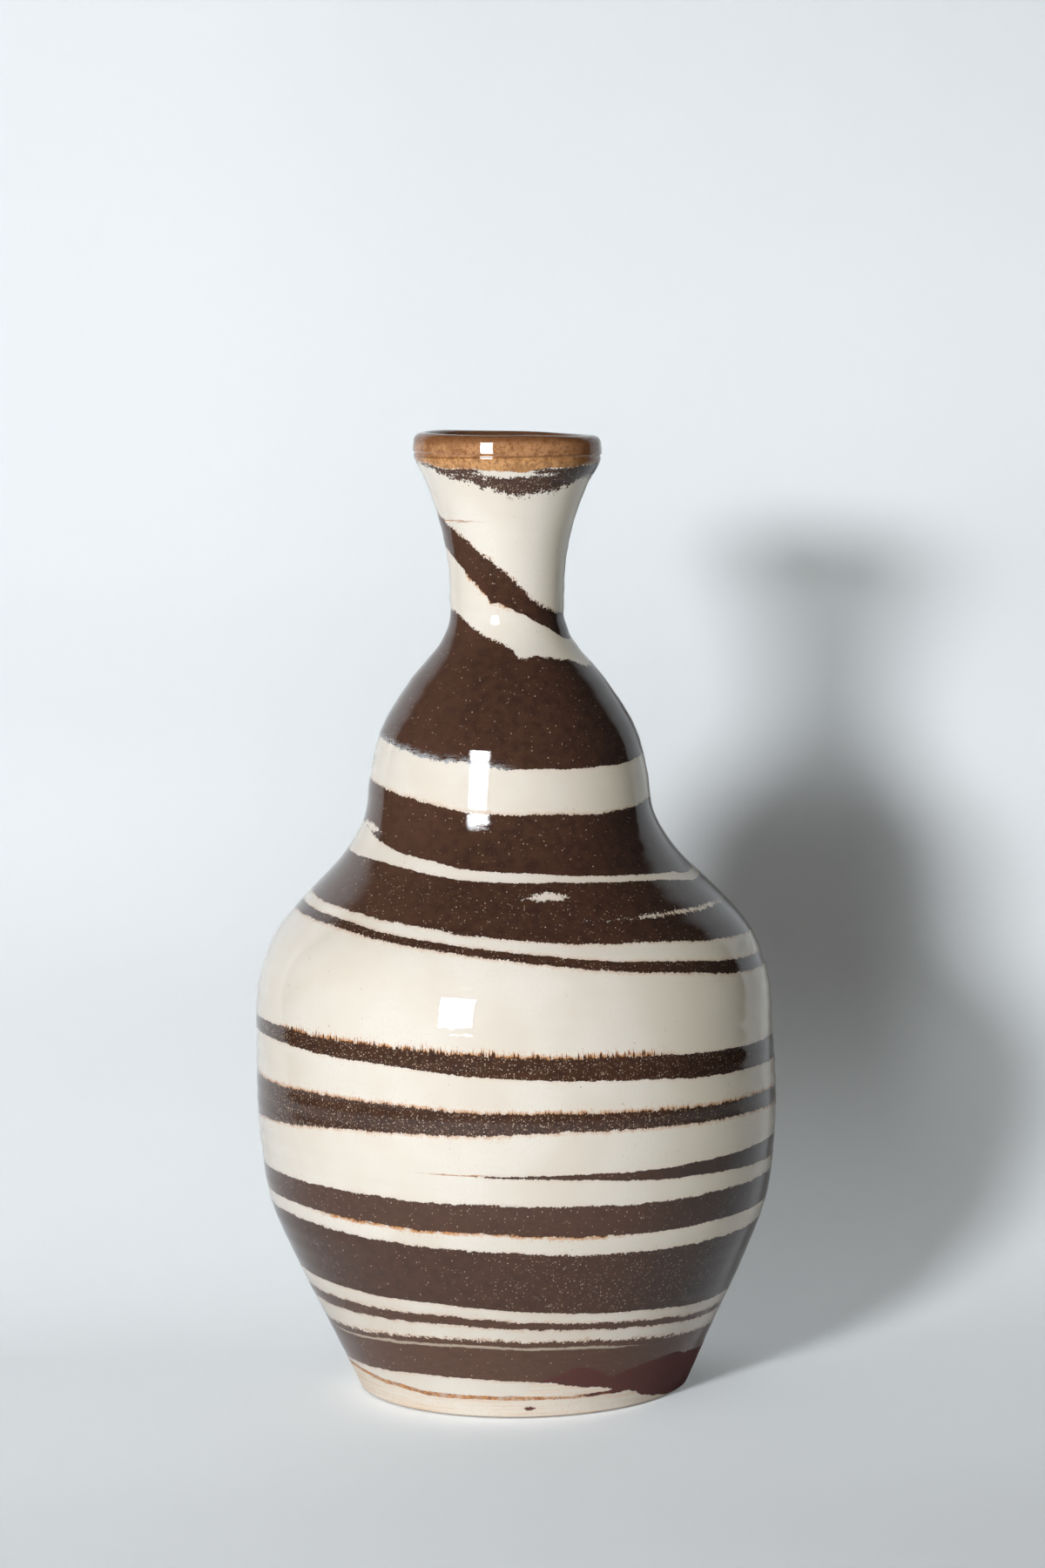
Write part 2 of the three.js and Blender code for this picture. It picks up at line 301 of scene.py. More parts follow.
def normals(surface, azimuth, along, step, outward=1):
    """The unit normals of surface(azimuth, along), from its changes each way."""
    across = surface(azimuth + TURN_STEP, along) - surface(azimuth - TURN_STEP, along)
    up = surface(azimuth, along + step) - surface(azimuth, along - step)
    normal = np.cross(across, up) * outward
    return normal / np.linalg.norm(normal, axis=-1, keepdims=True)


def wander(azimuth, height):
    """How far the layers wander up and down together."""
    turn = np.radians(azimuth)
    return (0.22 * np.sin(3 * turn + height / 19 + 0.6) + 0.13 * np.sin(7 * turn - height / 11)
            + 0.07 * np.sin(13 * turn + height / 7 + 2) + 0.04 * np.sin(29 * turn + height / 5))


def seam_heights(azimuth):
    """The heights of the seams under, between and over the layers, one row for each seam."""
    turn = np.radians(azimuth)
    rows = []
    for name in NAMES:
        left, front, right = LAYERS[name][1:]
        back = (left + right) / 2
        mean = (left + front + right + back) / 4
        wave = (mean + (front - back) / 2 * np.cos(turn) + (right - left) / 2 * np.sin(turn)
                + (front + back - left - right) / 4 * np.cos(2 * turn))
        if name == RUNS_OUT:
            rows.append(np.where(wave < SLIVER_TIP, 0, wave))
        else:
            rows.append(np.maximum(wave, THINNEST_LAYER))
    heights = np.array(rows)
    tops = np.cumsum(heights, axis=0) * LIP_SPRING / heights.sum(axis=0)
    for i, name in enumerate(NAMES[:-1]):
        shift = wander(azimuth, tops[i]) * smoothstep(0, 12, tops[i])
        if name in KINKS:
            shift = shift + eased(KINKS[name], azimuth)
        tops[i] += shift
    tops[-1] = LIP_SPRING
    return np.concatenate([np.zeros((1, len(azimuth))), tops])


AZIMUTHS = np.arange(COLUMNS) * 360 / COLUMNS - 180
SEAMS = seam_heights(AZIMUTHS)


class Edge:
    """How an edge of a brown layer looks over a span of azimuths: how ragged it is, how far it
    smears along, how far brown teeth stand up from it, how strongly it stains the white clay, and
    how milky the glaze is over it."""

    PLAIN = {"ragged": 0.2, "smear": 0.0, "teeth": 0.0, "stain": 0.12, "milky": 0.0}

    def __init__(self, span=(-180, 180), **looks):
        self.span = span
        self.looks = {**self.PLAIN, **looks}

    def look(self, field, azimuth):
        low, high = self.span
        share = smoothstep(low - 6, low + 6, azimuth) * (1 - smoothstep(high - 6, high + 6, azimuth))
        return self.PLAIN[field] + (self.looks[field] - self.PLAIN[field]) * share


PLAIN_EDGE = Edge()
TOP_EDGES = {
    "foot_brown_band": Edge(ragged=0.75, smear=0.4, teeth=0.3, stain=0.4),
    "lower_brown_thread": Edge(ragged=0.38, smear=0.4, stain=0.35),
    "belly_brown_broad": Edge(ragged=0.38, smear=0.2, stain=0.2),
    "belly_brown_middle": Edge(ragged=0.34, smear=0.2, stain=0.1),
    "belly_brown_grainy": Edge(ragged=0.35, teeth=0.5, stain=0.8),
    "belly_brown_upper": Edge(ragged=0.4, teeth=1.3, stain=1.0, span=(-60, 34)),
    "shoulder_brown_thread": Edge(ragged=0.22, stain=0.3),
    "waist_brown_band": Edge(ragged=0.38, stain=0.35),
    "bulb_brown_broad": Edge(ragged=0.65, smear=0.2, stain=0.1),
    "neck_brown_diagonal": Edge(ragged=0.85, smear=0.3, stain=0.3),
    "mouth_brown_band": Edge(ragged=0.6, smear=0.5, stain=0),
}
BOTTOM_EDGES = {
    "foot_brown_band": Edge(ragged=0.25, stain=0.25),
    "lower_brown_thread": Edge(ragged=0.35, smear=0.3, stain=0.3),
    "belly_brown_broad": Edge(ragged=0.2, stain=0.2),
    "belly_brown_middle": Edge(ragged=0.3, smear=0.35, stain=1.0, span=(-50, 22)),
    "belly_brown_grainy": Edge(ragged=0.35, teeth=0.2, stain=0.5),
    "belly_brown_upper": Edge(ragged=0.25, stain=0.15),
    "shoulder_brown_thread": Edge(ragged=0.38, smear=0.1, stain=0.35),
    "shoulder_brown_broad": Edge(ragged=0.4, stain=0.25),
    "waist_brown_band": Edge(ragged=0.25, stain=0.1),
    "bulb_brown_broad": Edge(ragged=0.5, smear=0.5, stain=0, milky=0.9, span=(-180, 0)),
    "neck_brown_diagonal": Edge(ragged=0.75, smear=0.2, stain=0.8, span=(-45, 2)),
    "mouth_brown_band": Edge(ragged=1.5, smear=0.1, stain=0),
}

# How thickly pale grains lie in each brown layer, and how pale its clay is, from 0 to 1.
GRAINS = {
    "belly_brown_grainy": 1.0,
    "belly_brown_upper": 0.95,
    "belly_brown_broad": 0.45,
    "belly_brown_middle": 0.2,
    "mouth_brown_band": 0.95,
    "shoulder_brown_thread": 0.5,
    "shoulder_brown_broad": 0.17,
}
FEW_GRAINS = 0.05
PALE = {
    "foot_and_floor": 1.0,
    "foot_brown_band": 1.0,
    "lower_brown_thread": 0.8,
    "belly_brown_broad": 0.28,
    "belly_brown_middle": 0.5,
    "belly_brown_sliver": 0.3,
}

# Painted light and painted shade: how much paler the brown clay of the shoulder and above is made on
# the lit left, and how much darker both clays are made on the shaded right, from the lower belly up.
PAINTED_LIGHT_LEFT = 0.4
PAINTED_LIGHT_LEFT_FROM = "shoulder_brown_broad"
PAINTED_SHADE_RIGHT = 0.55
PAINTED_SHADE_RIGHT_FROM = "belly_brown_broad"


class Patch(NamedTuple):
    """A lens of other clay in a layer. Its rise is in millimetres for each degree."""

    azimuth: float
    height: float
    half_width: float
    half_height: float
    rise: float = 0.0

    def inside(self, azimuth, height):
        """Millimetres inside the lens."""
        turn = azimuth - self.azimuth
        across = turn / self.half_width
        up = (height - self.height - self.rise * turn) / self.half_height
        return (1 - np.hypot(across, up)) * self.half_height


WHITE_PATCHES = {
    "shoulder_brown_broad": [Patch(11, 124.1, 5.6, 0.8), Patch(58, 118.4, 18, 0.38, -0.01)],
    "waist_brown_band": [Patch(-72, 137.6, 10, 1.0, -0.03)],
    "mouth_brown_band": [Patch(1, 221.1, 23, 0.9, 0.004)],
}
BROWN_PATCHES = {
    "foot_and_floor": [Patch(1.4, 2.6, 1.9, 0.45, 0.06), Patch(31, 5.4, 14, 0.42, 0.01)],
}
PATCH_RAGGED = 0.5
PATCH_MARGIN = 1.5

# The layers whose outside is divided more finely, for their patches or their steep forms.
FINE_LAYERS = {*WHITE_PATCHES, *BROWN_PATCHES, "neck_white_lower", "neck_brown_diagonal", "amber_rim"}


def edge_fields(name, azimuth, to_bottom, to_top):
    """The fields that a layer takes from its nearer edge."""
    i = NAMES.index(name)
    if CLAYS[i] == "brown":
        below = BOTTOM_EDGES.get(name, PLAIN_EDGE)
        above = TOP_EDGES.get(name, PLAIN_EDGE)
    else:
        below = TOP_EDGES.get(NAMES[i - 1], PLAIN_EDGE) if i else PLAIN_EDGE
        above = BOTTOM_EDGES.get(NAMES[i + 1], PLAIN_EDGE) if i + 1 < len(NAMES) else PLAIN_EDGE
    return {
        field: np.where(to_top < to_bottom, above.look(field, azimuth), below.look(field, azimuth))
        for field in Edge.PLAIN
    }


def one_side(turn, start, full):
    """A share that rises from 0 at start to 1 at full and is gone again behind the vase."""
    return smoothstep(start, full, turn) * (1 - smoothstep(110, 160, turn))


def clay_fields(name, azimuth, height, bottom, top):
    """What the clay material reads on one layer, at each point of its outer wall."""
    i = NAMES.index(name)
    along = np.hypot(1, outline(height)[1])
    far = np.full_like(height, FAR_OFF)
    to_bottom = (height - bottom) * along if i else far
    to_top = (top - height) * along if i + 1 < len(NAMES) else far
    if name == "foot_brown_band":
        to_bottom = (height - np.minimum(bottom, eased(FOOT_BROWN_OVER, azimuth))) * along
    if RUNS_OUT in NAMES[i - 1:i + 2] and name != RUNS_OUT:
        # White meets white where the sliver between them has run out.
        k = NAMES.index(RUNS_OUT)
        gone = np.interp(azimuth, AZIMUTHS, SEAMS[k + 1] - SEAMS[k]) < SLIVER_TIP
        if k < i:
            to_bottom = np.where(gone, far, to_bottom)
        else:
            to_top = np.where(gone, far, to_top)
    near = np.minimum(to_bottom, to_top)
    fields = edge_fields(name, azimuth, to_bottom, to_top)
    fields["into_brown"] = near if CLAYS[i] == "brown" else -near
    fields["into_amber"] = {"mouth_brown_band": -to_top, "amber_rim": to_bottom}.get(name, -far)
    for patch in WHITE_PATCHES.get(name, []):
        inside = patch.inside(azimuth, height)
        fields["into_brown"] = np.minimum(fields["into_brown"], -inside)
        least = np.where(inside > -PATCH_MARGIN, PATCH_RAGGED, 0)
        fields["ragged"] = np.maximum(fields["ragged"], least)
    for patch in BROWN_PATCHES.get(name, []):
        fields["into_brown"] = np.maximum(fields["into_brown"], patch.inside(azimuth, height))
    if name == NAMES[0]:
        over = height - eased(FOOT_BROWN_OVER, azimuth)
        fields["into_brown"] = np.maximum(fields["into_brown"], over)
    fields["bare"] = (eased(GLAZE_EDGE, azimuth) - height) * along
    fields["grains"] = np.full_like(height, GRAINS.get(name, FEW_GRAINS))
    if name == "belly_brown_broad":
        fields["grains"] = FEW_GRAINS + (fields["grains"] - FEW_GRAINS) * smoothstep(-30, 12, azimuth)
    fields["pale"] = np.full_like(height, PALE.get(name, 0))
    # Painted light: the brown clay of the shoulder and above is made paler on the lit left side.
    if i >= NAMES.index(PAINTED_LIGHT_LEFT_FROM):
        fields["pale"] = PAINTED_LIGHT_LEFT * one_side(-azimuth, 10, 45)
    # Painted shade: both clays from the lower belly up are made darker on the shaded right side.
    fields["deep"] = np.zeros_like(height)
    if i >= NAMES.index(PAINTED_SHADE_RIGHT_FROM):
        fields["deep"] = PAINTED_SHADE_RIGHT * one_side(azimuth, 18, 55)
    fields["indoors"] = np.zeros_like(height)
    fields["line"], fields["line_width"] = painted_line(name, azimuth, height, bottom, to_top)
    return fields


def painted_line(name, azimuth, height, bottom, to_top):
    """The distance from the thin line drawn out in some layers, and the line's half width."""
    if name == "foot_brown_band":
        return to_top - 1.9, 0.34 * (1 - smoothstep(30, 62, np.abs(azimuth + 18)))
    if name == "foot_and_floor":
        shown = smoothstep(-120, -60, azimuth) * (1 - smoothstep(28, 42, azimuth))
        thick = 0.5 - 0.12 * smoothstep(-10, 15, azimuth)
        return height - eased(FOOT_STREAK, azimuth), shown * thick
    if name == "belly_white_over_sliver":
        shown = smoothstep(-26, -14, azimuth) * (1 - smoothstep(-9, -3, azimuth))
        return height - bottom, 0.2 * shown
    if name == "neck_white_upper":
        shown = smoothstep(-100, -60, azimuth) * (1 - smoothstep(-50, 0, azimuth))
        return height - 209.6, 0.15 * shown
    return np.full_like(height, FAR_OFF), np.zeros_like(height)


class Strip(NamedTuple):
    """A run of a section's points, with the normals and the clay fields at each. Where there are no
    normals, the strip's faces are flat."""

    points: np.ndarray
    normal: np.ndarray | None
    fields: dict


def rows_between(low, high, spacing, columns):
    count = max(3, math.ceil(float(np.max(high - low)) / spacing))
    share = np.linspace(0, 1, count + 1)
    heights = low[:, None] + (high - low)[:, None] * share
    return np.repeat(AZIMUTHS[columns][:, None], count + 1, axis=1), heights


def wall_strip(name, surface, columns, upwards):
    """The outer wall of a layer going up, or its inner wall going down."""
    i = NAMES.index(name)
    low, high = SEAMS[i][columns], SEAMS[i + 1][columns]
    if i == 0 and upwards:
        low = low + FOOT_EDGE
    spacing = FINE_ROW if name in FINE_LAYERS else OUTER_ROW
    azimuth, height = rows_between(low, high, spacing if upwards else INNER_ROW, columns)
    if upwards:
        bottom, top = SEAMS[i][columns][:, None], SEAMS[i + 1][columns][:, None]
        fields = clay_fields(name, azimuth, height, bottom, top)
    else:
        height = height[:, ::-1]
        fields = body_fields(name, azimuth, 1)
    normal = normals(surface, azimuth, height, RISE_STEP, 1 if upwards else -1)
    return Strip(surface(azimuth, height), normal, fields)


def body_fields(name, azimuth, indoors=0.0, bare=False):
    """Fields well inside a layer's clay, for faces that no seam crosses."""
    clay = CLAYS[NAMES.index(name)]
    inside = np.full_like(azimuth, WELL_INSIDE)
    fields = {field: np.zeros_like(azimuth) for field in (*Edge.PLAIN, "deep", "line_width")}
    fields["into_brown"] = inside if clay == "brown" else -inside
    fields["into_amber"] = inside if clay == "amber" else -inside
    fields["bare"] = inside if bare else -inside
    even = {"grains": FEW_GRAINS, "pale": PALE.get(name, 0), "indoors": indoors, "line": FAR_OFF}
    for key, value in even.items():
        fields[key] = np.zeros_like(azimuth) + value
    return fields


def hand_over(strip, to):
    """Gives the point that two strips share the fields of the first."""
    for key, values in to.fields.items():
        values[:, 0] = strip.fields[key][:, -1]


def seam_strip(name, start, end, columns):
    """The face between two layers, from one wall to the other, with a point halfway."""
    points = np.stack([start, (start + end) / 2, end], axis=1)
    azimuth = np.repeat(AZIMUTHS[columns][:, None], 3, axis=1)
    return Strip(points, None, body_fields(name, azimuth))


def lip_strip(columns):
    turn = np.linspace(0, 180, LIP_STEPS + 1)
    azimuth, turn = np.meshgrid(AZIMUTHS[columns], turn, indexing="ij")
    fields = body_fields("amber_rim", azimuth, smoothstep(80, 150, turn))
    return Strip(lip(azimuth, turn), normals(lip, azimuth, turn, LIP_TURN_STEP), fields)


def ring_strip(profile, columns, indoors, bare):
    """A strip of the foot piece through the points (radius, height), the same all round."""
    radii, heights = np.array(profile, float).T
    azimuth, radius = np.meshgrid(AZIMUTHS[columns], radii, indexing="ij")
    height = np.broadcast_to(heights, azimuth.shape)
    fields = body_fields("foot_and_floor", azimuth, indoors, bare)
    return Strip(placed(radius, azimuth, height), None, fields)


def under_profile():
    """From the middle of the foot's recess, over the foot ring, to the start of the outer wall."""
    edge_radius = float(outline(np.array([FOOT_EDGE]))[0][0])
    ring_outer = STATIONS[0][1] - FOOT_EDGE
    ring_inner = ring_outer - FOOT_RING_WIDTH
    round_start = ring_outer - 0.3
    profile = [
        (CAP_RADIUS, FOOT_RECESS),
        (ring_inner - 3 * FOOT_RECESS, FOOT_RECESS),
        (ring_inner - 1.2 * FOOT_RECESS, FOOT_RECESS - 0.1),
        (ring_inner - 0.5 * FOOT_RECESS, FOOT_RECESS - 0.6),
        (ring_inner - 0.3, 0.25),
        (ring_inner + 0.4, 0),
        (round_start, 0),
    ]
    for step in range(1, ROUND_STEPS):
        turn = math.pi / 2 * step / (ROUND_STEPS - 1)
        radius = round_start + (edge_radius - round_start) * math.sin(turn)
        profile.append((radius, FOOT_EDGE * (1 - math.cos(turn))))
    return profile


def floor_profile(corner):
    """From the inner wall, at the radius of the corner, to the middle of the floor."""
    rise = FLOOR_FILLET / 3
    profile = [(corner, FLOOR_TOP + rise)]
    for step in range(1, ROUND_STEPS + 1):
        share = math.sin(math.pi / 2 * step / ROUND_STEPS)
        profile.append((corner - FLOOR_FILLET * share, FLOOR_TOP + rise * (1 - share)))
    return profile + [(corner * 0.5, FLOOR_TOP), (CAP_RADIUS, FLOOR_TOP)]


def foot_strips(columns):
    """From under the foot's recess, round the foot ring and up the outside, to the floor inside."""
    outer = wall_strip("foot_and_floor", outer_wall, columns, True)
    inner = wall_strip("foot_and_floor", inner_wall, columns, False)
    under = ring_strip(under_profile(), columns, 0, True)
    floor = ring_strip(floor_profile(np.linalg.norm(inner.points[0, -1, :2])), columns, 1, False)
    over = seam_strip("foot_and_floor", outer.points[:, -1], inner.points[:, 0], columns)
    hand_over(outer, over)
    return [under, outer, over, inner, floor]


def layer_strips(name, columns):
    """Up the outside, across the seam above, down the inside and across the seam below."""
    outer = wall_strip(name, outer_wall, columns, True)
    inner = wall_strip(name, inner_wall, columns, False)
    if name == NAMES[-1]:
        over = lip_strip(columns)
    else:
        over = seam_strip(name, outer.points[:, -1], inner.points[:, 0], columns)
    hand_over(outer, over)
    return [outer, over, inner, seam_strip(name, inner.points[:, -1], outer.points[:, 0], columns)]


def columns_of(name):
    """The columns in which a layer has any height, in order, and whether they go all round."""
    i = NAMES.index(name)
    held = SEAMS[i + 1] - SEAMS[i] > SLIVER_TIP / 2
    if held.all():
        return np.arange(COLUMNS), True
    first = int(np.argmax(held & ~np.roll(held, 1)))
    return (first + np.arange(int(held.sum()))) % COLUMNS, False


def face_normals(a, b, c, d):
    """The unit normals of four-cornered faces, from their diagonals."""
    normal = np.cross(c - a, d - b)
    return normal / np.maximum(np.linalg.norm(normal, axis=-1, keepdims=True), 1e-12)


def joined(runs, closed_section):
    """The strips' values in a row, where each strip starts with the point that the last ended on."""
    parts = [run[:, :-1] for run in runs]
    if not closed_section:
        parts.append(runs[-1][:, -1:])
    return np.concatenate(parts, axis=1)


def weave(strips, closed_section, closed_round):
    """Joins strips into one closed mesh: its vertices, faces, corner normals, caps and fields."""
    points = joined([strip.points for strip in strips], closed_section)
    keys = strips[0].fields
    fields = {key: joined([strip.fields[key] for strip in strips], closed_section) for key in keys}
    columns, count = points.shape[:2]
    here = np.arange(columns if closed_round else columns - 1)
    there = (here + 1) % columns
    quads, corner_normals = [], []
    first = 0
    for strip in strips:
        for row in range(strip.points.shape[1] - 1):
            i, j = first + row, (first + row + 1) % count
            around = ((here, i), (there, i), (there, j), (here, j))
            quads.append(np.stack([column * count + k for column, k in around], axis=1))
            if strip.normal is None:
                flat = face_normals(*[points[column, k] for column, k in around])
                corner_normals.append(np.repeat(flat[:, None], 4, axis=1))
            else:
                around = ((here, row), (there, row), (there, row + 1), (here, row + 1))
                smooth = [strip.normal[column, k] for column, k in around]
                corner_normals.append(np.stack(smooth, axis=1))
        first += strip.points.shape[1] - 1
    caps = []
    if not closed_round:
        caps = [list(range(count)), list(range((columns - 1) * count, columns * count))[::-1]]
    if not closed_section:
        ring = np.arange(columns) * count
        caps = [list(ring[::-1]), list(ring + count - 1)]
    vertices = points.reshape(-1, 3)
    return vertices, np.concatenate(quads), np.concatenate(corner_normals), caps, fields


def make_mesh(name, vertices, quads, corner_normals, caps, fields):
    """A smooth mesh of the quads and the flat caps, with its own normals and the clay's fields."""
    mesh = bpy.data.meshes.new(name)
    corners = np.concatenate([quads.ravel()] + [np.array(cap) for cap in caps]).astype(np.int32)
    sizes = np.array([4] * len(quads) + [len(cap) for cap in caps], np.int32)
    mesh.vertices.add(len(vertices))
    mesh.vertices.foreach_set("co", (vertices * MM).astype(np.float32).ravel())
    mesh.loops.add(len(corners))
    mesh.loops.foreach_set("vertex_index", corners)
    mesh.polygons.add(len(sizes))
    starts = np.concatenate([[0], np.cumsum(sizes)[:-1]])
    mesh.polygons.foreach_set("loop_start", starts.astype(np.int32))
    mesh.polygons.foreach_set("use_smooth", np.ones(len(sizes), bool))
    mesh.update(calc_edges=True)
    mesh.validate()
    cap_normals = np.zeros((sum(len(cap) for cap in caps), 3))
    at = 0
    for cap in caps:
        a, b, c = vertices[cap[0]], vertices[cap[len(cap) // 3]], vertices[cap[2 * len(cap) // 3]]
        normal = np.cross(b - a, c - a)
        cap_normals[at:at + len(cap)] = normal / np.linalg.norm(normal)
        at += len(cap)
    all_normals = np.concatenate([corner_normals.reshape(-1, 3), cap_normals])
    mesh.normals_split_custom_set(all_normals.tolist())
    for key, values in fields.items():
        layer = mesh.attributes.new(key, "FLOAT", "POINT")
        layer.data.foreach_set("value", values.astype(np.float32).ravel())
    return mesh


class Nodes:
    """Adds nodes to a material or a world, a line for each."""

    def __init__(self, material):
        material.use_nodes = True
        self.tree = material.node_tree
        self.tree.nodes.clear()

    def add(self, kind, inputs=(), **settings):
        node = self.tree.nodes.new(kind)
        for key, value in settings.items():
            setattr(node, key, value)
        for key, value in dict(inputs).items():
            self.give(node.inputs[key], value)
        return node

    def give(self, socket, value):
        if isinstance(value, bpy.types.NodeSocket):
            self.tree.links.new(value, socket)
        else:
            socket.default_value = value

    def math(self, operation, a, b=0.0, c=0.0):
        return self.add("ShaderNodeMath", {0: a, 1: b, 2: c}, operation=operation).outputs[0]

    def plus(self, total, *others):
        for value in others:
            total = self.math("ADD", total, value)
        return total

    def times(self, product, *others):
        for value in others:
            product = self.math("MULTIPLY", product, value)
        return product

    def field(self, name):
        return self.add("ShaderNodeAttribute", attribute_name=name).outputs["Fac"]

    def ramp(self, value, low, high, start=0.0, end=1.0):
        """Eases from start to end as the value goes from low to high."""
        given = {0: value, 1: low, 2: high, 3: start, 4: end}
        return self.add("ShaderNodeMapRange", given, interpolation_type="SMOOTHSTEP").outputs[0]

    def mix(self, share, a, b):
        """The colour a, with a share of the colour b."""
        node = self.add("ShaderNodeMix", data_type="RGBA")
        self.give(node.inputs[0], share)
        self.give(node.inputs[6], a if isinstance(a, bpy.types.NodeSocket) else (*a, 1))
        self.give(node.inputs[7], b if isinstance(b, bpy.types.NodeSocket) else (*b, 1))
        return node.outputs[2]

    def tint(self, a, b, value, low, high, start=0.0, end=1.0):
        """The colour a, with a share of b that the value decides."""
        return self.mix(self.ramp(value, low, high, start, end), a, b)

    def scaled(self, vector, factors):
        given = {0: vector, 1: factors}
        return self.add("ShaderNodeVectorMath", given, operation="MULTIPLY").outputs[0]

    def noise(self, vector, scale, detail=2.0, roughness=0.5):
        given = {"Vector": vector, "Scale": scale, "Detail": detail, "Roughness": roughness}
        return self.add("ShaderNodeTexNoise", given).outputs[0]

    def swing(self, value, amount):
        """A noise turned into a swing about zero, of about the given size."""
        return self.times(self.math("SUBTRACT", value, 0.5), 3 * amount)


# The colours of the clays, the slip and the stains, and of the painted light and shade on the clays.
WHITE = (0.80, 0.735, 0.65)
WHITE_WARM = (0.75, 0.665, 0.565)
WHITE_PAINTED_SHADE = (0.80, 0.725, 0.55)
BARE_WHITE = (0.77, 0.695, 0.60)
BARE_STREAK = (0.72, 0.50, 0.33)
BROWN = (0.067, 0.031, 0.0185)
BROWN_DARK = (0.044, 0.021, 0.0145)
BROWN_PAINTED_SHADE = (0.020, 0.014, 0.011)
BROWN_PALE_AND_PAINTED_LIGHT = (0.114, 0.056, 0.036)
BROWN_MOTTLE = (0.10, 0.046, 0.032)
BARE_BROWN = (0.100, 0.0165, 0.0085)
AMBER = (0.47, 0.23, 0.105)
AMBER_LIGHT = (0.60, 0.30, 0.115)
AMBER_DARK = (0.17, 0.062, 0.023)
MOUTH_INSIDE = (0.085, 0.040, 0.022)
STAIN = (0.56, 0.24, 0.07)
STAIN_DARK = (0.26, 0.10, 0.04)
SAND_DARK = (0.24, 0.14, 0.08)
SAND_LIGHT = (0.64, 0.50, 0.37)
SPECK = (0.22, 0.13, 0.08)
MILKY = (0.46, 0.47, 0.48)
HAIRLINE = (0.45, 0.36, 0.27)

GLAZE_IOR = 1.5
BARE_ROUGHNESS = 0.85

# The fine and the coarse pale grains: how many places for one lie in a millimetre, how wide it is
# in such places, and how many more a grains field of 1 brings out.
GRAIN_SIZES = ((2.1, 0.44, 0.6), (0.85, 0.2, 0.16))


class ClayNodes(Nodes):
    """Nodes for glazed clay, with the noises that mottle it and tear its edges."""

    def __init__(self, material):
        super().__init__(material)
        place = self.scaled(self.add("ShaderNodeTexCoord").outputs["Object"], (1 / MM,) * 3)
        self.place = place
        self.right, _, self.height = self.add("ShaderNodeSeparateXYZ", {0: place}).outputs
        self.fine = self.noise(place, 2.4, 2.0, 0.6)
        self.middle = self.noise(place, 0.45, 3.0)
        self.large = self.noise(place, 0.05, 2.0)
        self.streaks = self.noise(self.scaled(place, (0.05, 0.05, 1.3)), 1.0, 3.0, 0.6)
        self.smears = self.noise(self.scaled(place, (0.3, 0.3, 1.7)), 1.0, 3.0, 0.65)
        self.upright = self.noise(self.scaled(place, (2.4, 2.4, 0.26)), 1.0, 2.0, 0.6)
        self.crumbs = self.noise(place, 1.3, 4.0, 0.72)
        self.torn = torn_depth(self)
        self.speck, self.speck_chance = specks(self)

    def scattered(self, scale):
        """The distance from the nearest of many scattered points, and its random numbers."""
        given = {"Vector": self.place, "Scale": scale, "Randomness": 1.0}
        points = self.add("ShaderNodeTexVoronoi", given).outputs
        return points["Distance"], self.add("ShaderNodeSeparateColor", {0: points["Color"]}).outputs


def torn_depth(n):
    """How deep in the brown clay a point lies, with the edge torn by the noises."""
    crumbled = n.plus(n.swing(n.fine, 0.9), n.swing(n.crumbs, 1.1), n.swing(n.middle, 0.6))
    return n.plus(
        n.field("into_brown"),
        n.times(n.field("ragged"), crumbled),
        n.times(n.field("smear"), n.swing(n.smears, 1.3)),
        n.swing(n.middle, 0.1),
        n.times(n.field("teeth"), n.ramp(n.upright, 0.46, 0.72)),
    )


def specks(n):
    """Where the few dark specks lie, and a random number for each."""
    distance, chance = n.scattered(0.4)
    spots = n.ramp(distance, 0.04, 0.11, 1, 0)
    return n.times(spots, n.ramp(chance[0], 0.72, 0.85)), chance[1]


def stain_share(n):
    """Where the brown clay stains the white: a fringe along its edge, and spots beyond it."""
    fringe = n.times(n.ramp(n.torn, -1.0, -0.05), n.ramp(n.middle, 0.3, 0.55, 0.3, 1.0))
    spots = n.times(n.ramp(n.torn, -2.6, -0.4), n.ramp(n.fine, 0.56, 0.68, 0, 0.75))
    spots = n.times(spots, n.ramp(n.middle, 0.42, 0.6))
    return n.times(n.math("MAXIMUM", fringe, spots), n.field("stain"))


def white_clay(n):
    """White clay, faintly streaked and specked, stained beside some of the brown, and darkened on the
    right by painted shade.
    """
    white = n.tint(WHITE, WHITE_WARM, n.large, 0.35, 0.65)
    white = n.tint(white, WHITE_WARM, n.streaks, 0.5, 0.75, 0, 0.3)
    white = n.tint(white, WHITE_WARM, n.fine, 0.45, 0.75, 0, 0.6)
    white = n.tint(white, WHITE_WARM, n.crumbs, 0.5, 0.7, 0, 0.5)
    # Painted shade on the vase's right side.
    white = n.mix(n.field("deep"), white, WHITE_PAINTED_SHADE)
    white = n.mix(n.times(n.speck, n.ramp(n.speck_chance, 0, 1, 0.1, 0.6)), white, SPECK)
    return n.mix(stain_share(n), white, STAIN)


def with_grains(n, colour, scale, width, share):
    """A colour strewn with pale grains of one size."""
    distance, chance = n.scattered(scale)
    spots = n.ramp(distance, 0.45 * width, width, 1, 0)
    kept = n.ramp(n.plus(chance[0], n.times(n.field("grains"), share)), 0.97, 1.0)
    strength = n.times(spots, kept, n.ramp(chance[2], 0, 1, 0.3, 1.0))
    return n.mix(strength, colour, n.mix(chance[1], SAND_DARK, SAND_LIGHT))


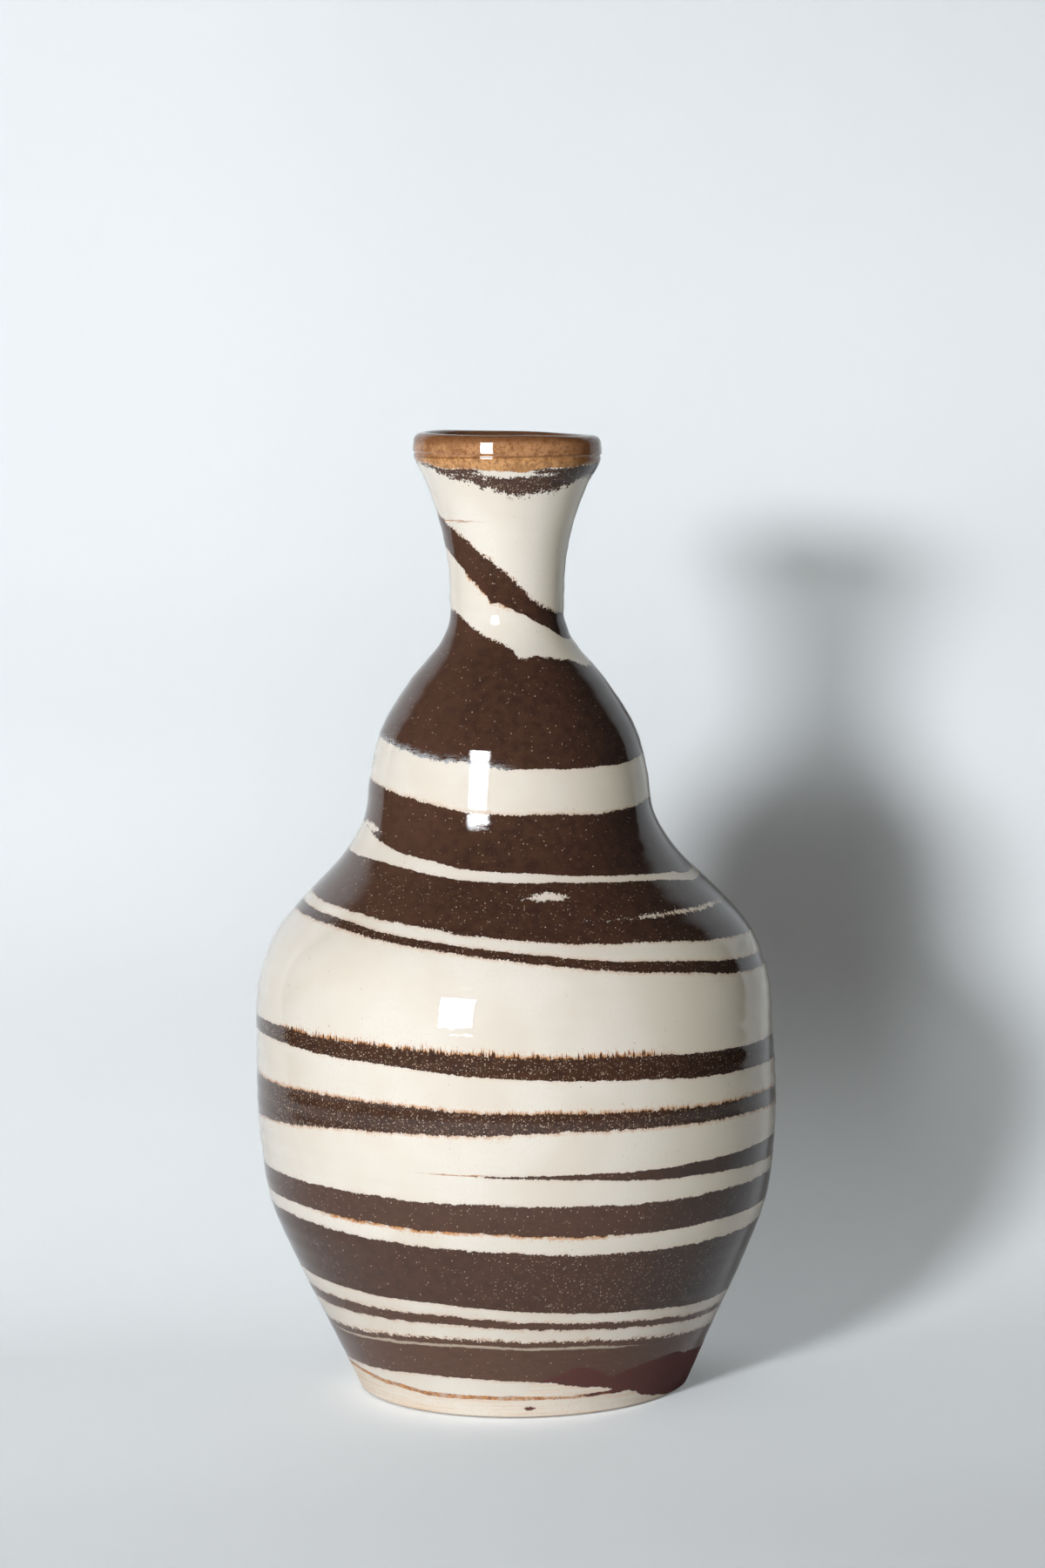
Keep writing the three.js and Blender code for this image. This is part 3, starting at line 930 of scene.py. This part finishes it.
def brown_clay(n):
    """Brown clay, mottled and grainy, with milky glaze over some of its edge. Painted light makes the
    upper layers paler on the left, and painted shade makes the layers from the lower belly up darker
    on the right.
    """
    brown = n.tint(BROWN_DARK, BROWN, n.middle, 0.3, 0.65)
    # The clay's own paleness, and on the upper layers painted light on the left side.
    brown = n.mix(n.times(n.field("pale"), n.ramp(n.smears, 0.25, 0.6, 0.6, 1.0)), brown, BROWN_PALE_AND_PAINTED_LIGHT)
    brown = n.tint(brown, BROWN_MOTTLE, n.fine, 0.45, 0.75, 0, 0.45)
    for scale, width, share in GRAIN_SIZES:
        brown = with_grains(n, brown, scale, width, share)
    # Painted shade on the vase's right side.
    brown = n.mix(n.field("deep"), brown, BROWN_PAINTED_SHADE)
    milk = n.times(n.ramp(n.torn, 0, 2.2, 1, 0), n.ramp(n.smears, 0.4, 0.6), n.field("milky"))
    return n.mix(milk, brown, MILKY)


def amber_slip(n):
    """Amber slip, blotched, and darker on the right, at the lip, in the groove and indoors."""
    amber = n.tint(AMBER_LIGHT, AMBER, n.height, 224.6, 225.6)
    amber = n.tint(amber, AMBER_DARK, n.middle, 0.42, 0.62, 0, 0.5)
    amber = n.tint(amber, AMBER_LIGHT, n.smears, 0.45, 0.7, 0, 0.45)
    amber = n.tint(amber, AMBER_DARK, n.crumbs, 0.48, 0.64, 0, 0.7)
    amber = n.tint(amber, AMBER_DARK, n.right, 11, 20, 0, 0.62)
    amber = n.tint(amber, AMBER_DARK, n.plus(n.height, n.swing(n.smears, 0.6)), 227.3, 229.2, 0, 0.75)
    off_groove = n.math("ABSOLUTE", n.math("SUBTRACT", n.height, 225.0))
    amber = n.tint(amber, AMBER_DARK, off_groove, 0.05, 0.4, 0.65, 0)
    indoors = n.times(n.field("indoors"), n.ramp(n.smears, 0.35, 0.6, 1.0, 0.6))
    return n.mix(indoors, amber, MOUTH_INSIDE)


def drawn_line(n):
    """Where a thin line is drawn out in the clay."""
    off_line = n.math("ABSOLUTE", n.plus(n.field("line"), n.swing(n.smears, 0.35)))
    outside = n.math("SUBTRACT", off_line, n.field("line_width"))
    line = n.ramp(n.plus(outside, n.swing(n.fine, 0.15)), -0.12, 0.2, 1, 0)
    return n.times(line, n.ramp(n.field("line_width"), 0, 0.2))


def bare_white(n, line, line_colour):
    """White clay without glaze, streaked, lined, and darkened by painted shade where it stands."""
    white = n.tint(BARE_WHITE, BARE_STREAK, n.streaks, 0.46, 0.66, 0, 0.7)
    white = n.tint(white, BARE_STREAK, n.crumbs, 0.5, 0.64, 0, 0.5)
    white = n.mix(line, white, line_colour)
    # Painted shade: the lowest fraction of a millimetre of the foot, where it stands, is darkened.
    white = n.tint(white, SPECK, n.height, 0.25, 0.8, 0.75, 0)
    return n.mix(n.speck, white, SPECK)


def glaze(n, colour, brown, bare):
    """The surface of a colour: glaze over fine grit, or rough bare clay."""
    grit = n.times(n.noise(n.place, 2.8, 2.0, 0.7), n.math("MAXIMUM", brown, bare))
    grit = n.math("MULTIPLY_ADD", n.middle, 1.2, grit)
    bump = n.add("ShaderNodeBump", {"Height": grit, "Strength": 0.3, "Distance": 0.03 * MM})
    glazed = n.ramp(brown, 0, 1, 0.025, 0.045)
    given = {0: bare, 1: 0.0, 2: 1.0, 3: glazed, 4: BARE_ROUGHNESS}
    roughness = n.add("ShaderNodeMapRange", given).outputs[0]
    return n.add("ShaderNodeBsdfPrincipled", {
        "Base Color": colour, "Roughness": roughness, "IOR": GLAZE_IOR, "Normal": bump.outputs[0],
    })


def clay_material(name):
    """Glazed clay, which reads from the mesh's fields which clay lies where. A line drawn out in it
    is cream in the brown and orange in the white."""
    material = bpy.data.materials.new(name)
    n = ClayNodes(material)
    line = drawn_line(n)
    orange = n.tint(STAIN, STAIN_DARK, n.crumbs, 0.44, 0.6)
    orange_line = n.times(line, n.ramp(n.middle, 0.3, 0.6, 0.6, 1.0))
    bare = n.ramp(n.plus(n.field("bare"), n.swing(n.middle, 0.35)), -0.08, 0.12)
    white = n.mix(orange_line, white_clay(n), orange)
    white = n.mix(n.times(bare, 0.75), white, bare_white(n, orange_line, orange))
    dark = n.mix(line, brown_clay(n), HAIRLINE)
    dark = n.mix(bare, dark, n.tint(BARE_BROWN, BROWN_DARK, n.fine, 0.4, 0.7, 0, 0.6))
    brown = n.ramp(n.torn, -0.07, 0.07)
    amber = n.ramp(n.plus(n.field("into_amber"), n.swing(n.fine, 0.45)), -0.1, 0.1)
    colour = n.mix(amber, n.mix(brown, white, dark), amber_slip(n))
    n.add("ShaderNodeOutputMaterial", {"Surface": glaze(n, colour, brown, bare).outputs[0]})
    return material


def added(name, data):
    """A new object in the scene."""
    thing = bpy.data.objects.new(name, data)
    bpy.context.scene.collection.objects.link(thing)
    return thing


def make_piece(name, material):
    """The Blender piece that stands for one packed layer."""
    if name == NAMES[0]:
        columns = np.arange(COLUMNS)
        woven = weave(foot_strips(columns), False, True)
    else:
        columns, all_round = columns_of(name)
        woven = weave(layer_strips(name, columns), True, all_round)
    piece = added("clay_" + name, make_mesh("clay_" + name, *woven))
    piece.data.materials.append(material)
    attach(piece, "root")
    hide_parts(name)


# The camera, fitted to the photograph.
CAMERA_DISTANCE = 1042.3
CAMERA_HEIGHT = 259.0
CAMERA_RIGHT = 2.9
CAMERA_PITCH = 6.20
CAMERA_ROLL = 1.01
CAMERA_LENS = 100
CAMERA_SENSOR = 36


def make_camera():
    data = bpy.data.cameras.new("camera")
    data.lens = CAMERA_LENS
    data.sensor_width = CAMERA_SENSOR
    camera = added("camera", data)
    tilt = Matrix.Rotation(math.radians(90 - CAMERA_PITCH), 4, "X")
    roll = Matrix.Rotation(math.radians(-CAMERA_ROLL), 4, "Z")
    place = Matrix.Translation((CAMERA_RIGHT * MM, -CAMERA_DISTANCE * MM, CAMERA_HEIGHT * MM))
    camera.matrix_world = place @ tilt @ roll
    bpy.context.scene.camera = camera


# The stage: a pale card that sweeps up in a long bend from a wide floor behind the vase.
SWEEP_START = 30
SWEEP_DEPTH = 166
SWEEP_RISE = 130
SWEEP_STEPS = 32
CARD_HALF_WIDTH = 350
CARD_TOP = 420
FLOOR_REACH = 3000
FLOOR_LEVEL = -0.05
PAPER = (0.855, 0.87, 0.885)
BLACK = (0, 0, 0)

# The glaze mirrors the paper as far as this from the vase, and dim paper beyond.
PAPER_REACH = 420
PAPER_MIRRORED_FAR = (0.06, 0.055, 0.05)

# Painted light on the paper, a glow that only the camera sees: on the floor, on the card, and towards
# the card's right and left, where it lightens and narrows the vase's shadow on the card. High on the
# card, a share of the paper's own shading gives way to it, which lightens the shadow beside the neck
# more than beside the rim.
GLOW_COLOUR = (0.80, 0.87, 0.895)
FLOOR_GLOW = 0.17
CARD_GLOW = 0.15
RIGHT_GLOW = 0.13
LEFT_GLOW = 0.05
CARD_PAINTED_LIGHT = 0.3
PAINTED_LIGHT_GLOW = 0.86


class PaperNodes(Nodes):
    """Nodes for the paper, with the place of each point on it."""

    def __init__(self, material):
        super().__init__(material)
        self.geometry = self.add("ShaderNodeNewGeometry").outputs
        self.path = self.add("ShaderNodeLightPath").outputs
        self.seen = self.path["Is Camera Ray"]
        self.place = self.geometry["Position"]
        apart = self.add("ShaderNodeSeparateXYZ", {0: self.place})
        self.across, self.depth, self.height = apart.outputs

    def over(self, value, low, high, start=0.0, end=1.0):
        """A ramp between two places, in millimetres."""
        return self.ramp(value, low * MM, high * MM, start, end)


def painted_light_share(n):
    """The share of the paper's own shading that painted light stands in for, lightening the vase's
    shadow on the card.
    """
    painted_light = n.times(n.over(n.height, 105, 155, 0, CARD_PAINTED_LIGHT), n.seen)
    return n.times(painted_light, n.over(n.height, 170, 190, 1, 0.6))


def glow_strength(n, painted_light):
    """How strong the painted light on the paper is, with what stands in for the paper's shading."""
    card = n.times(n.over(n.height, 90, 230, 0, CARD_GLOW), n.over(n.across, -220, 120, 0.14, 1))
    card = n.times(card, n.over(n.height, 240, 380, 1, 0.35))
    # Painted light on the card's right, beside the vase's shadow, which narrows that shadow.
    right = n.times(n.over(n.across, 94, 130, 0, RIGHT_GLOW), n.over(n.height, 10, 60))
    right = n.times(right, n.over(n.height, 120, 190, 1, 0))
    left = n.times(n.over(n.across, -100, 0, LEFT_GLOW, 0), n.over(n.height, 40, 100))
    floor = n.over(n.depth, -170, -40, 0.4 * FLOOR_GLOW, FLOOR_GLOW)
    floor = n.times(n.over(n.height, 0, 80, 1, 0), floor)
    high = n.plus(card, n.times(painted_light, PAINTED_LIGHT_GLOW), n.plus(right, left))
    return n.times(n.seen, n.plus(floor, high))


def paper_colour(n, painted_light):
    away = n.add("ShaderNodeVectorMath", {0: n.place}, operation="LENGTH").outputs["Value"]
    far = n.times(n.over(away, PAPER_REACH, 1.4 * PAPER_REACH), n.path["Is Glossy Ray"])
    return n.mix(painted_light, n.mix(far, PAPER, PAPER_MIRRORED_FAR), BLACK)


def paper_material():
    """Matt paper that the camera sees through from behind."""
    material = bpy.data.materials.new("paper")
    n = PaperNodes(material)
    painted_light = painted_light_share(n)
    matt = n.add("ShaderNodeBsdfDiffuse", {"Color": paper_colour(n, painted_light)})
    lit = n.add("ShaderNodeEmission", {"Color": (*GLOW_COLOUR, 1), "Strength": glow_strength(n, painted_light)})
    both = n.add("ShaderNodeAddShader", {0: matt.outputs[0], 1: lit.outputs[0]})
    clear = n.add("ShaderNodeBsdfTransparent")
    from_behind = n.times(n.geometry["Backfacing"], n.seen)
    shader = n.add("ShaderNodeMixShader", {0: from_behind, 1: both.outputs[0], 2: clear.outputs[0]})
    n.add("ShaderNodeOutputMaterial", {"Surface": shader.outputs[0]})
    return material


def make_stage():
    """The card is swept along a profile that rises from the floor, and faces the vase."""
    paper = paper_material()
    profile = []
    for step in range(SWEEP_STEPS + 1):
        turn = math.pi / 2 * step / SWEEP_STEPS
        profile.append((SWEEP_START + SWEEP_DEPTH * math.sin(turn), SWEEP_RISE * (1 - math.cos(turn))))
    profile.append((SWEEP_START + SWEEP_DEPTH, CARD_TOP))
    corners, faces = [], []
    for y, z in profile:
        corners += [(-CARD_HALF_WIDTH, y, z), (CARD_HALF_WIDTH, y, z)]
    for i in range(0, len(corners) - 2, 2):
        faces.append((i, i + 1, i + 3, i + 2))
    make_sheet("card", corners, faces, paper)
    sides = ((-1, -1), (1, -1), (1, 1), (-1, 1))
    corners = [(FLOOR_REACH * x, FLOOR_REACH * y, FLOOR_LEVEL) for x, y in sides]
    make_sheet("floor", corners, [(0, 1, 2, 3)], paper)


def make_sheet(name, corners, faces, material):
    mesh = bpy.data.meshes.new(name)
    mesh.from_pydata([tuple(MM * value for value in corner) for corner in corners], [], faces)
    mesh.materials.append(material)
    for face in mesh.polygons:
        face.use_smooth = True
    added(name, mesh)


# The key light is an upright soft box to the left of the camera. Its hot middle lights the scene
# and throws the shadow, and the glaze mirrors its whole face.
KEY_AZIMUTH = -25
KEY_AIM = 115
KEY_COLOUR = (0.95, 0.99, 1.02)


def make_soft_box(name, shape, size, reach, level, power):
    """A lamp that faces the vase, with its size, and its reach and level, in millimetres."""
    data = bpy.data.lights.new(name, "AREA")
    data.shape = shape
    data.size, data.size_y = (MM * side for side in size)
    data.energy = power
    data.color = KEY_COLOUR
    lamp = added(name, data)
    lamp.visible_camera = False
    turn, rise = math.radians(KEY_AZIMUTH), math.atan2(level - KEY_AIM, reach)
    place = Matrix.Translation((reach * MM * math.sin(turn), -reach * MM * math.cos(turn), level * MM))
    face = Matrix.Rotation(turn, 4, "Z") @ Matrix.Rotation(math.radians(90) - rise, 4, "X")
    lamp.matrix_world = place @ face
    return lamp


def make_lights():
    middle = make_soft_box("key_middle", "ELLIPSE", (180, 130), reach=1000, level=406, power=10.1)
    middle.visible_glossy = False
    sheen = make_soft_box("key_sheen", "RECTANGLE", (385, 600), reach=1460, level=468, power=55)
    sheen.visible_diffuse = False


# The room's light from the left and from the right, and what the glaze and the camera see of it.
ROOM_LEFT = (0.088, 0.081, 0.070)
ROOM_RIGHT = (0.055, 0.051, 0.044)
ROOM_MIRRORED = (0.03, 0.03, 0.03)
ROOM_SEEN = (0.80, 0.85, 0.885)


def make_world():
    """A dim room around the vase, dimmer on the right, which the camera sees as the pale backdrop
    going on."""
    world = bpy.data.worlds.new("room")
    bpy.context.scene.world = world
    n = Nodes(world)
    path = n.add("ShaderNodeLightPath").outputs
    direction = n.add("ShaderNodeTexCoord").outputs["Generated"]
    across = n.add("ShaderNodeSeparateXYZ", {0: direction}).outputs[0]
    room = n.mix(n.ramp(across, -0.1, 0.8), ROOM_LEFT, ROOM_RIGHT)
    room = n.mix(path["Is Glossy Ray"], room, ROOM_MIRRORED)
    room = n.mix(path["Is Camera Ray"], room, ROOM_SEEN)
    background = n.add("ShaderNodeBackground", {"Color": room})
    n.add("ShaderNodeOutputWorld", {"Surface": background.outputs[0]})


make_camera()
make_world()
make_lights()
make_stage()
clays = {clay: clay_material(clay + "_clay") for clay in ("white", "brown", "amber")}
for layer in NAMES:
    make_piece(layer, clays[LAYERS[layer][0]])

bpy.context.scene.view_settings.view_transform = "Standard"
